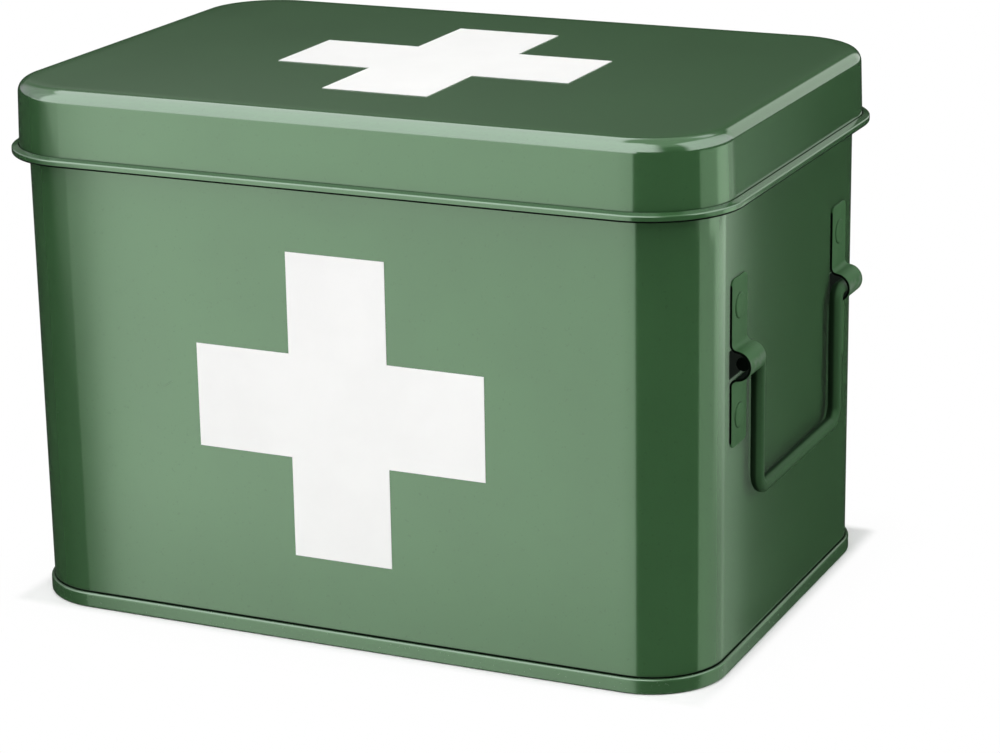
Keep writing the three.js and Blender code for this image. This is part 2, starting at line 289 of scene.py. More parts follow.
    def panel(self, test: Test, border: float) -> Blank:
        """Fills a ring of edges with a flat sheet that has a narrow border face round it.

        Args:
            test: Picks the ring's points.
            border: Width of the border.

        Returns:
            The piece.
        """
        self.pick(test)
        bpy.ops.mesh.edge_face_add()
        bpy.ops.mesh.inset(thickness=border)
        return self.tidy()

    def round_points(self, test: Test, radius: float) -> Blank:
        """Rounds corners of a flat sheet.

        Args:
            test: Picks the corner points.
            radius: Radius of the rounding.

        Returns:
            The piece.
        """
        self.pick(test)
        bpy.ops.mesh.bevel(offset=radius, segments=8, affect="VERTICES")
        return self

    def round_edges(self, test: Test, radius: float, steps: int) -> Blank:
        """Rounds the edges between picked points.

        Args:
            test: Picks the points at the ends of the edges.
            radius: Radius of the rounding.
            steps: Number of faces across it.

        Returns:
            The piece.
        """
        self.pick(test)
        bpy.ops.mesh.bevel(offset=radius, segments=steps, affect="EDGES")
        return self

    def done(self) -> Blank:
        """Leaves edit mode."""
        bpy.ops.object.mode_set(mode="OBJECT")
        return self

    def select(self) -> None:
        """Makes the piece the only selected object, and the active one."""
        bpy.ops.object.select_all(action="DESELECT")
        self.obj.select_set(True)
        bpy.context.view_layer.objects.active = self.obj

    def modify(self, kind: str, **settings: object) -> Blank:
        """Adds a modifier and applies it.

        Args:
            kind: Type of the modifier.
            **settings: Its settings.

        Returns:
            The piece.
        """
        self.select()
        modifier = self.obj.modifiers.new(kind.title(), kind)
        for key, value in settings.items():
            setattr(modifier, key, value)
        bpy.ops.object.modifier_apply(modifier=modifier.name)
        return self

    def thicken(self, thickness: float) -> Blank:
        """Gives the middle line of a sheet its thickness, half to each side."""
        return self.modify("SOLIDIFY", thickness=thickness, offset=0, use_even_offset=True)

    def soften(self, width: float, steps: int, degrees: float = 50) -> Blank:
        """Rounds every edge that is sharper than an angle."""
        limit = {"limit_method": "ANGLE", "angle_limit": math.radians(degrees)}
        return self.modify("BEVEL", width=width, segments=steps, **limit)

    def combine(self, tool: Blank, join: Join) -> Blank:
        """Works another piece into this one, and removes that piece.

        Args:
            tool: The other piece.
            join: How it is worked in.

        Returns:
            The piece.
        """
        self.modify("BOOLEAN", object=tool.obj, operation=join.value, solver="EXACT")
        bpy.data.objects.remove(tool.obj)
        return self

    def smooth(self, degrees: float = 35) -> Blank:
        """Shades the piece smooth, apart from its sharp edges.

        Args:
            degrees: Angle above which an edge counts as sharp.

        Returns:
            The piece.
        """
        self.select()
        bpy.ops.object.shade_smooth_by_angle(angle=math.radians(degrees))
        return self

    def twin(self, name: str, move: Point, half_turn: bool) -> Blank:
        """Copies the piece with its own mesh.

        Args:
            name: Name of the copy.
            move: How far the copy is moved.
            half_turn: Whether it is first turned half round the Z axis.

        Returns:
            The copy.
        """
        self.select()
        bpy.ops.object.duplicate()
        bpy.context.object.rotation_euler = (0, 0, math.pi if half_turn else 0)
        bpy.context.object.location = move
        return Blank(name)


class Wire:
    """A socket whose numbers can be worked with in Python expressions."""

    def __init__(self, graph: Graph, socket: bpy.types.NodeSocket) -> None:
        """Wraps a socket of a graph."""
        self.graph = graph
        self.socket = socket

    def _maths(self, operation: str, *values: Number) -> Wire:
        """Adds a Math node."""
        return self.graph.node("ShaderNodeMath", dict(enumerate(values)), operation=operation)

    def __add__(self, other: Number) -> Wire:
        """Sum."""
        return self._maths("ADD", self, other)

    def __sub__(self, other: Number) -> Wire:
        """Difference."""
        return self._maths("SUBTRACT", self, other)

    def __rsub__(self, other: Number) -> Wire:
        """Difference, from the right."""
        return self._maths("SUBTRACT", other, self)

    def __mul__(self, other: Number) -> Wire:
        """Product."""
        return self._maths("MULTIPLY", self, other)

    def __abs__(self) -> Wire:
        """Size without its sign."""
        return self._maths("ABSOLUTE", self)

    __radd__ = __add__
    __rmul__ = __mul__

    def at_least(self, other: Number) -> Wire:
        """The larger of two values."""
        return self._maths("MAXIMUM", self, other)

    def reach(self, other: Wire) -> Wire:
        """Length of the slope over two legs."""
        return self._maths("POWER", self * self + other * other, 0.5)

    def rise(self, low: float, high: float) -> Wire:
        """Smooth step from 0 at low to 1 at high.

        Args:
            low: Value at which the step starts.
            high: Value at which it ends, which may be below low.

        Returns:
            The step.
        """
        if low > high:
            return 1 - self.rise(high, low)
        sockets = {"Value": self, "From Min": low, "From Max": high}
        return self.graph.node("ShaderNodeMapRange", sockets, interpolation_type="SMOOTHSTEP")

    def band(self, low: float, high: float, edge: float) -> Wire:
        """One between two values and nought outside them, with soft edges."""
        return self.rise(low - edge, low + edge) * self.rise(high + edge, high - edge)


Number = Union[Wire, float]


class Place(NamedTuple):
    """X, Y and Z of a place on a piece."""

    x: Wire
    y: Wire
    z: Wire


Mask = Callable[[Place], Wire]


class Graph:
    """The nodes of a material or of the world."""

    def __init__(self, owner: Union[bpy.types.Material, bpy.types.World]) -> None:
        """Empties the node tree to build in.

        Args:
            owner: The material or world.
        """
        owner.use_nodes = True
        self.owner = owner
        self.tree = owner.node_tree
        self.tree.nodes.clear()

    def node(
        self, kind: str, inputs: dict[Union[str, int], object],
        output: Union[str, int] = 0, **settings: object,
    ) -> Wire:
        """Adds a node.

        Args:
            kind: Type of the node.
            inputs: Values or wires of its sockets, by name or number.
            output: The output that is handed back.
            **settings: Its settings, which are set before its inputs.

        Returns:
            The chosen output.
        """
        made = self.tree.nodes.new(kind)
        for key, value in settings.items():
            setattr(made, key, value)
        for key, value in inputs.items():
            if isinstance(value, Wire):
                self.tree.links.new(value.socket, made.inputs[key])
            else:
                made.inputs[key].default_value = value
        return Wire(self, made.outputs[output] if made.outputs else made.inputs[0])

    def blend(self, share: Number, first: object, second: object) -> Wire:
        """Mixes two colours.

        Args:
            share: Share of the second colour.
            first: Colour or wire at share 0.
            second: Colour or wire at share 1.

        Returns:
            The mixed colour.
        """
        ends = [end if isinstance(end, Wire) else (*end, 1) for end in (first, second)]
        return self.node("ShaderNodeMix", {0: share, 6: ends[0], 7: ends[1]}, 2, data_type="RGBA")

    def noise(self, place: Wire, scale: float, detail: float = 2, rough: float = 0.5) -> Wire:
        """Soft noise from 0 to 1, with a number of waves in a metre and of finer layers."""
        sockets = {"Vector": place, "Scale": scale, "Detail": detail, "Roughness": rough}
        return self.node("ShaderNodeTexNoise", sockets)

    def place(self) -> Wire:
        """Coordinates of the object itself, in metres."""
        return self.node("ShaderNodeTexCoord", {}, "Object")

    def axes(self, place: Wire) -> Place:
        """X, Y and Z of a place."""
        split = self.node("ShaderNodeSeparateXYZ", {0: place})
        return Place(*(Wire(self, output) for output in split.socket.node.outputs))

    def bump(self, height: Wire) -> Wire:
        """Bump from a height in millimetres."""
        return self.node("ShaderNodeBump", {"Strength": 1.0, "Distance": MM, "Height": height})

    def surface(self, shader: Wire, kind: str = "Material") -> object:
        """Ends the nodes in a shader, and hands back the material or world."""
        self.node(f"ShaderNodeOutput{kind}", {"Surface": shader})
        return self.owner


@dataclass(frozen=True)
class Marks:
    """Where a painted piece is worn or scratched, and where shade is painted into it, as masks on
    its own coordinates.
    """

    worn: Mask | None = None
    # Painted shade: a darker copy of the paint in creases, hollows and at contacts.
    painted_shade: Mask | None = None
    scratched: Mask | None = None
    # Painted black shade: near-black colour in hollows and under edges, where deep shade falls.
    painted_black: Mask | None = None


@dataclass(frozen=True)
class Enamel:
    """Glossy stoved enamel on sheet steel, with orange peel, mottling, thin edges and painted
    shade.
    """

    name: str
    marks: Marks = field(default_factory=Marks)
    colour: Colour = (0.0448, 0.1231, 0.0455)
    # Near-black colour of the painted shade in hollows and under edges.
    painted_black_colour: Colour = (0.004, 0.008, 0.0045)
    metallic: float = 0.33
    roughness: float = 0.11
    specular: float = 1.0
    peel_mm: float = 0.00012
    waves_mm: float = 0.012

    def shade(self, times: float, plus: float = 0) -> Colour:
        """The paint's colour, darker or lighter."""
        return tuple(times * c + plus for c in self.colour)

    def material(self) -> bpy.types.Material:
        """Builds the node material.

        Returns:
            The material.
        """
        graph = Graph(bpy.data.materials.new(self.name))
        place = graph.place()
        at = graph.axes(place)
        mottle = graph.noise(place, scale=22, detail=3, rough=0.55)
        specks = graph.noise(place, scale=900, detail=1).rise(0.68, 0.76)
        colour = graph.blend(mottle.rise(0.3, 0.7), self.shade(0.97), self.shade(1.03))
        colour = graph.blend(specks * 0.35, colour, self.shade(0.6))
        rough = self.roughness + 0.03 * (mottle - 0.5) + 0.10 * specks
        metallic: Number = self.metallic
        # Painted shade: the colour is darkened where shade falls, in creases, hollows and at
        # contacts.
        if self.marks.painted_shade:
            colour = graph.blend(self.marks.painted_shade(at) * 0.45, colour, self.shade(0.45))
        if self.marks.worn:
            broken = graph.noise(place, scale=260, detail=4, rough=0.7).rise(0.42, 0.62)
            worn = self.marks.worn(at) * broken
            colour = graph.blend(worn * 0.5, colour, self.shade(0.5, plus=0.12))
            rough = rough + 0.1 * worn
        # Painted black shade: near-black, rough and fully metallic where deep shade falls.
        if self.marks.painted_black:
            painted_black = self.marks.painted_black(at)
            colour = graph.blend(painted_black, colour, self.painted_black_colour)
            rough = rough + 0.85 * painted_black
            metallic = metallic + (1 - metallic) * painted_black
        if self.marks.scratched:
            scratched = self.marks.scratched(at)
            colour = graph.blend(scratched * 0.5, colour, self.shade(0.4))
            rough = rough + 0.25 * scratched
        waves = graph.noise(place, scale=14, detail=1) * self.waves_mm
        peel = graph.noise(place, scale=700) * self.peel_mm
        sockets = {
            "Base Color": colour,
            "Roughness": rough,
            "Metallic": metallic,
            "IOR": 1.5,
            "Specular IOR Level": self.specular,
            "Normal": graph.bump(waves + peel),
        }
        return graph.surface(graph.node("ShaderNodeBsdfPrincipled", sockets))


@dataclass(frozen=True)
class SatinEnamel(Enamel):
    """The darker and duller enamel of the handles."""

    colour: Colour = (0.036, 0.099, 0.0365)
    metallic: float = 0.15
    roughness: float = 0.5
    specular: float = 0.08


@dataclass(frozen=True)
class Print:
    """White printed enamel: a thin opaque layer, with a faint screen texture."""

    name: str
    colour: Colour = (0.785, 0.785, 0.775)
    roughness: float = 0.35
    grain_mm: float = 0.006

    def material(self) -> bpy.types.Material:
        """Builds the node material.

        Returns:
            The material.
        """
        graph = Graph(bpy.data.materials.new(self.name))
        place = graph.place()
        cloud = graph.noise(place, scale=30, detail=3, rough=0.6).rise(0.35, 0.65)
        grain = graph.noise(place, scale=1600)
        cloudy = tuple(0.975 * c for c in self.colour)
        sockets = {
            "Base Color": graph.blend(cloud, self.colour, cloudy),
            "Roughness": self.roughness + 0.1 * (grain - 0.5),
            "Normal": graph.bump(grain * self.grain_mm),
        }
        return graph.surface(graph.node("ShaderNodeBsdfPrincipled", sockets))


class Slot(Enum):
    """Names of material slots, which nothing in this script uses."""

    CASE = "case_paint"
    BASE = "base_paint"
    LID = "lid_paint"
    BRACKET = "bracket_paint"
    RIVET = "rivet_paint"
    BAIL = "bail_paint"
    TRAY = "tray_paint"
    DIVIDER = "divider_paint"
    LEDGE = "ledge_paint"


def dress(obj: bpy.types.Object, material: bpy.types.Material) -> None:
    """Gives an object one material and no other."""
    obj.data.materials.clear()
    obj.data.materials.append(material)


def fit(blank: Blank, body: str, material: bpy.types.Material, node: str) -> None:
    """Finishes a piece: its paint, its body and the node that it stands for.

    Args:
        blank: The piece.
        body: Body that it rides on.
        material: Its material.
        node: Node of the frame that it replaces.
    """
    dress(blank.obj, material)
    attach(blank.obj, body)
    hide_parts(node)
    LOG.info("%s: %d faces, rides on %s", blank.obj.name, len(blank.obj.data.polygons), body)


@dataclass
class CaseShell:
    """The wrapped wall with its rolled rim and lap seam, and the base seamed to its foot."""

    plan: Plan = field(default_factory=Plan)
    sheet: float = 0.6 * MM
    wall_start: Spot = (-0.3 * MM, 1.2 * MM)
    bead_centre: Spot = (0.7 * MM, 201.04 * MM)
    bead_turn: float = -275
    seam_width: float = 8 * MM
    seam_proud: float = 0.6 * MM
    seam_foot: float = 6.3 * MM
    seam_top: float = 198.4 * MM
    base_start: Spot = (-2.0 * MM, 2.9 * MM)
    base_fold: Strokes = (
        Arc((-2.0 * MM, 2.1 * MM), -90, 6),
        Line((-1.2 * MM, 0.8 * MM)),
        Arc((-0.7 * MM, 0.8 * MM), 90, 6),
        Line((0.6 * MM, 0.3 * MM)),
        Arc((0.6 * MM, 0.8 * MM), 90, 6),
        Line((1.1 * MM, 5.1 * MM)),
        Arc((0.5 * MM, 5.1 * MM), 90, 8),
        Line((0.3 * MM, 5.7 * MM)),
    )
    scratch_at: Spot = (-71.7 * MM, 95.6 * MM)
    scratch_length: float = 4.6 * MM
    scratch_lean: float = math.radians(30)
    # Where black shade is painted on the wall: heights of the groove band, and half width and half
    # height behind each barrel.
    groove: Spot = (5.0 * MM, 6.6 * MM)
    behind_barrel: Spot = (8.1 * MM, 5.4 * MM)

    def wall(self) -> Blank:
        """Builds the wall of the case.

        Returns:
            The wall.
        """
        rise = Line((self.wall_start[0], self.bead_centre[1]))
        strokes = (rise, Arc(self.bead_centre, self.bead_turn, 26))
        blank = Blank.wrap("wall_sheet", self.wall_start, strokes, self.plan).done()
        return blank.thicken(self.sheet).combine(self.lap(), Join.ADD).smooth()

    def lap(self) -> Blank:
        """Builds the strip of the lap seam on the back of the wall.

        Returns:
            The strip.
        """
        half = self.seam_width / 2
        low = (-half, self.plan.back - self.sheet / 2, self.seam_foot)
        high = (half, self.plan.back + self.seam_proud, self.seam_top)
        blank = Blank.block("lap", low, high)
        return blank.round_edges(lambda p: p.y > self.plan.back, 0.35 * MM, 3).done()

    def base(self) -> Blank:
        """Builds the base: a raised floor and the channel seamed round the wall's foot.

        Returns:
            The base.
        """
        blank = Blank.wrap("base_pan", self.base_start, self.base_fold, self.plan)
        blank.panel(lambda p: abs(p.z - self.base_start[1]) < NEAR, 3 * MM).done()
        return blank.thicken(self.sheet).smooth()

    def scratch(self, at: Place) -> Wire:
        """Masks one short scratch on the front, to the left of the cross.

        Args:
            at: Place on the wall.

        Returns:
            The mask.
        """
        across, rise = at.x - self.scratch_at[0], at.z - self.scratch_at[1]
        cosine, sine = math.cos(self.scratch_lean), math.sin(self.scratch_lean)
        half = self.scratch_length / 2
        along = (across * cosine + rise * sine).band(-half, half, 0.4 * MM)
        aside = (rise * cosine - across * sine).band(-0.1 * MM, 0.1 * MM, 0.1 * MM)
        return at.y.rise(0.5 * MM - self.plan.back, -self.plan.back) * along * aside

    def groove_and_barrel_shade(self, at: Place) -> Wire:
        """Masks where black shade is painted: the groove at the seam, and behind the barrels.

        Args:
            at: Place on the wall.

        Returns:
            The mask.
        """
        half, rise = self.behind_barrel
        height = self.plan.grip_height
        outside = abs(at.x).rise(self.plan.side - 0.5 * MM, self.plan.side - 0.2 * MM)
        across = abs(abs(at.y) - self.plan.grip_aside).rise(half + 0.2 * MM, half - 0.2 * MM)
        level = at.z.band(height - rise, height + rise, 0.5 * MM)
        return at.z.band(*self.groove, 0.2 * MM).at_least(outside * across * level)

    def build(self) -> None:
        """Builds and dresses the wall and the base."""
        rim = self.bead_centre[1]
        wall_marks = Marks(
            worn=lambda at: at.z.rise(rim + 0.4 * MM, rim + 1.2 * MM),
            # Painted shade on the foot of the wall, darker towards the base seam.
            painted_shade=lambda at: at.z.rise(7.5 * MM, 6.0 * MM) * 0.6,
            scratched=self.scratch,
            # Painted black shade in the groove at the seam and behind the barrels.
            painted_black=self.groove_and_barrel_shade,
        )
        base_marks = Marks(
            worn=lambda at: at.z.rise(1.2 * MM, 0.2 * MM),
            # Painted shade on the top of the base seam, where it meets the wall.
            painted_shade=lambda at: at.z.rise(5.6 * MM, 6.0 * MM),
        )
        wall_paint = Enamel("case_enamel", wall_marks).material()
        fit(self.wall(), "case", wall_paint, "case_wall")
        base_paint = Enamel("base_enamel", base_marks, roughness=0.2).material()
        fit(self.base(), "case", base_paint, "case_base")


@dataclass
class Lid:
    """The drawn lid: flat panel, rounded shoulder, flared skirt and outward curl."""

    plan: Plan = field(default_factory=Plan)
    sheet: float = 0.6 * MM
    shoulder_centre: Spot = (-1.9 * MM, 200 * MM)
    shoulder_radius: float = 4.7 * MM
    skirt_foot: Spot = (3.55 * MM, 177.5 * MM)
    curl_under: float = 0.6 * MM
    curl_out: float = 6.4 * MM
    curl_rise: float = 178.75 * MM
    curl_over: float = 0.35 * MM
    curl_turn: float = 75
    curl_end: float = 4.05 * MM

    def shell(self) -> Blank:
        """Builds the lid.

        Returns:
            The lid.
        """
        top = self.shoulder_centre[1] + self.shoulder_radius
        out, foot = self.skirt_foot
        crest = (self.curl_out - self.curl_over, self.curl_rise)
        turn = math.radians(self.curl_turn)
        back = crest[0] + self.curl_over * math.cos(turn) - self.curl_end
        end = crest[1] + self.curl_over * math.sin(turn) + back / math.tan(turn)
        strokes = (
            Arc(self.shoulder_centre, -90, 14),
            Line(self.skirt_foot),
            Arc((out + self.curl_under, foot), 90, 8),
            Line((self.curl_out - self.curl_under, foot - self.curl_under)),
            Arc((self.curl_out - self.curl_under, foot), 90, 8),
            Line((self.curl_out, self.curl_rise)),
            Arc(crest, self.curl_turn, 8),
            Line((self.curl_end, end)),
        )
        blank = Blank.wrap("lid_shell", (self.shoulder_centre[0], top), strokes, self.plan)
        blank.panel(lambda p: p.z > top - NEAR, 4 * MM).done()
        return blank.thicken(self.sheet).smooth()

    def build(self) -> None:
        """Builds and dresses the lid."""
        foot = self.skirt_foot[1]
        marks = Marks(
            # Painted shade in the crease between the skirt and the curl.
            painted_shade=lambda at: at.z.band(foot + 2.3 * MM, foot + 2.8 * MM, 0.2 * MM),
            # Painted black shade on the underside of the curl.
            painted_black=lambda at: at.z.rise(foot, foot - 0.15 * MM),
        )
        fit(self.shell(), "lid", Enamel("lid_enamel", marks).material(), "lid")


@dataclass
class Handles:
    """On each side: two brackets with a half-round barrel, four rivets and a wire bail.

    The two ends of a rivet are lists of (out, radius) in millimetres, from the face they sit on.
    """

    plan: Plan = field(default_factory=Plan)
    strap: float = 0.9 * MM
    strap_width: float = 16 * MM
    strap_length: float = 63 * MM
    strap_corner: float = 3 * MM
    skin: float = 0.05 * MM
    barrel_out: float = 2.5 * MM
    barrel_bend: float = 5.25 * MM
    root_out: float = 3.0 * MM
    root_bend: float = 2.55 * MM
    rivet_rise: float = 20.5 * MM
    rivet_tail: Sequence[Spot] = (
        (-1.2, 0), (-1.2, 1.56), (-0.9, 2.392), (-0.4, 2.6), (0, 2.6), (0, 1.6),
    )
    rivet_head: Sequence[Spot] = (
        (0, 1.6), (0, 4.8), (0.16, 4.8), (0.34, 4.68), (0.48, 4.38), (0.56, 3.9), (0.64, 2.16),
        (0.66, 0),
    )
    wall_sheet: float = 0.6 * MM
    wire: float = 2.6 * MM
    pivot_out: float = 3.95 * MM
    leg: float = 43.9 * MM
    stub_end: float = 60.5 * MM
    elbow: float = 4 * MM
    bend: float = 6.5 * MM
    drop: float = 52.5 * MM
    # Darker copy of the handle green for the wire, as painted shade.
    shaded_wire_colour: Colour = (0.0235, 0.065, 0.024)

    def bracket(self) -> Blank:
        """Builds one bracket, at the middle of the right side.

        Returns:
            The bracket.
        """
        inward = self.root_out - self.barrel_out
        root_rise = math.sqrt((self.barrel_bend + self.root_bend) ** 2 - inward**2)
        root_turn = math.degrees(math.atan2(root_rise, inward))
        flat = self.strap / 2
        middle = self.plan.grip_height
        low, high = middle - self.strap_length / 2, middle + self.strap_length / 2
        strokes = (
            Line((flat, middle - root_rise)),
            Arc((self.root_out, middle - root_rise), -root_turn, 8),
            Arc((self.barrel_out, middle), 2 * root_turn, 22),
            Arc((self.root_out, middle + root_rise), -root_turn, 8),
            Line((flat, high)),
        )
        out = self.plan.side + self.skin
        blank = Blank.trace("bracket", (flat, low), strokes, out, -self.strap_width / 2)
        blank.pull((0, self.strap_width, 0)).tidy()
        blank.round_points(
            lambda p: min(abs(p.z - low), abs(p.z - high)) < NEAR, self.strap_corner
        ).done()
        return blank.thicken(self.strap).soften(0.28 * MM, 3).smooth()

    def rivet(self) -> Blank:
        """Builds one rivet, with its axis at the middle of the right side.

        Returns:
            The rivet.
        """
        axis = (self.plan.side, 0, self.plan.grip_height)
        outside = self.skin + self.strap
        profile = [(out * MM - self.wall_sheet, radius * MM) for out, radius in self.rivet_tail]
        profile += [(out * MM + outside, radius * MM) for out, radius in self.rivet_head]
        blank = Blank.point("rivet", (axis[0] + profile[0][0], 0, axis[2]))
        for here, there in zip(profile, profile[1:]):
            blank.pull((there[0] - here[0], 0, there[1] - here[1]))
        bpy.ops.mesh.select_all(action="SELECT")
        return blank.spin(axis, (1, 0, 0), 360, 40).tidy().done().smooth(40)

    def bail(self) -> Blank:
        """Builds the right bail: a wide U of wire whose ends turn outwards into the barrels.

        Returns:
            The bail.
        """
        x = self.plan.side + self.pivot_out
        top = self.plan.grip_height
        elbow_y, elbow_z = self.leg + self.elbow, top - self.elbow
        bend_y, bend_z = self.leg - self.bend, top - self.drop + self.bend
        across = (1, 0, 0)
        blank = Blank.start(
            "bail", bpy.ops.mesh.primitive_circle_add, vertices=24, radius=self.wire,
            location=(x, self.stub_end, top), rotation=(math.pi / 2, 0, 0),
        )
        blank.pull((0, elbow_y - self.stub_end, 0))
        blank.spin((x, elbow_y, elbow_z), across, 90, 12)
        blank.pull((0, 0, bend_z - elbow_z))
        blank.spin((x, bend_y, bend_z), across, -90, 18)
        blank.pull((0, -2 * bend_y, 0))
        blank.spin((x, -bend_y, bend_z), across, -90, 18)
        blank.pull((0, 0, elbow_z - bend_z))
        blank.spin((x, -elbow_y, elbow_z), across, 90, 12)
        blank.pull((0, elbow_y - self.stub_end, 0))
        for end in (1, -1):
            blank.pick(lambda p, end=end: end * p.y > self.stub_end - NEAR)
            bpy.ops.mesh.edge_face_add()
        blank.tidy()
        blank.round_edges(lambda p: abs(p.y) > self.stub_end - NEAR, 0.6 * MM, 4)
        return blank.tidy().done().smooth(40)

    def barrel_and_edge_shade(self, at: Place) -> Wire:
        """Masks where black shade is painted: the inside of the barrels and the cut edges.

        Args:
            at: Place on a bracket.

        Returns:
            The mask.
        """
        out = abs(at.x) - (self.plan.side + self.skin + self.barrel_out)
        bore = self.barrel_bend - self.strap / 2
        reach = out.reach(at.z - self.plan.grip_height)
        half = self.strap_width / 2
        cut = abs(abs(at.y) - self.plan.grip_aside).rise(half - 0.3 * MM, half - 0.1 * MM)
        return reach.rise(bore + 0.25 * MM, bore + 0.05 * MM).at_least(cut)

    def wire_back_and_end_shade(self, at: Place) -> Wire:
        """Masks where black shade is painted on the wire: its wall side and its ends.

        Args:
            at: Place on a bail.

        Returns:
            The mask.
        """
        middle = self.plan.side + self.pivot_out
        hidden = abs(at.x).rise(middle + 1.0 * MM, middle - 0.3 * MM) * 0.65
        return hidden.at_least(abs(at.y).rise(self.leg + 7 * MM, self.leg + 10 * MM))

    def rivet_rim_shade(self, at: Place) -> Wire:
        """Masks the rim of the rivet heads, where shade is painted darker."""
        aside, rise = abs(at.y) - self.plan.grip_aside, abs(at.z - self.plan.grip_height)
        return aside.reach(rise - self.rivet_rise).rise(4.3 * MM, 4.7 * MM)

    def build(self) -> None:
        """Builds both sides and dresses them. The wall doesn't mirror these pieces."""
        out = self.plan.side
        strap_marks = Marks(
            worn=lambda at: abs(at.x).rise(out + 7.4 * MM, out + 8.2 * MM),
            # Painted shade on the strap where it lies against the wall.
            painted_shade=lambda at: abs(at.x).rise(out + 0.5 * MM, out + 0.1 * MM),
            # Painted black shade inside the barrels and on the cut edges of the straps.
            painted_black=self.barrel_and_edge_shade,
        )
        bail_marks = Marks(
            worn=lambda at: abs(at.y).band(self.leg + 4 * MM, self.leg + 6 * MM, MM),
            # Painted black shade on the wall side and the ends of the wire.
            painted_black=self.wire_back_and_end_shade,
        )
        strap_paint = SatinEnamel("bracket_enamel", strap_marks, peel_mm=0.003).material()
        # Painted shade at the rim of the rivet heads.
        rivet_paint = SatinEnamel("rivet_enamel", Marks(painted_shade=self.rivet_rim_shade)).material()
        # The bail takes the darker copy of the handle green, which is painted shade.
        bail_paint = SatinEnamel("bail_enamel", bail_marks, self.shaded_wire_colour).material()
        models = strap, pin, wire = self.bracket(), self.rivet(), self.bail()
        aside, rise = self.plan.grip_aside, self.rivet_rise
        for side, turned in (("right", False), ("left", True)):
            made = wire.twin(f"{side}_bail_wire", (0, 0, 0), turned)
            fit(made, f"{side}_bail", bail_paint, f"bail_{side}")
            made.obj.visible_glossy = False
            for end, y in (("front", -aside), ("rear", aside)):
                made = strap.twin(f"{side}_{end}_bracket", (0, y, 0), turned)
                fit(made, "case", strap_paint, f"bracket_{side}_{end}")
                made.obj.visible_glossy = False
                for row, z in (("upper", rise), ("lower", -rise)):
                    made = pin.twin(f"{side}_{end}_{row}_rivet", (0, y, z), turned)
                    fit(made, "case", rivet_paint, f"rivet_{side}_{end}_{row}")
                    made.obj.visible_glossy = False
        for model in models:
            bpy.data.objects.remove(model.obj)


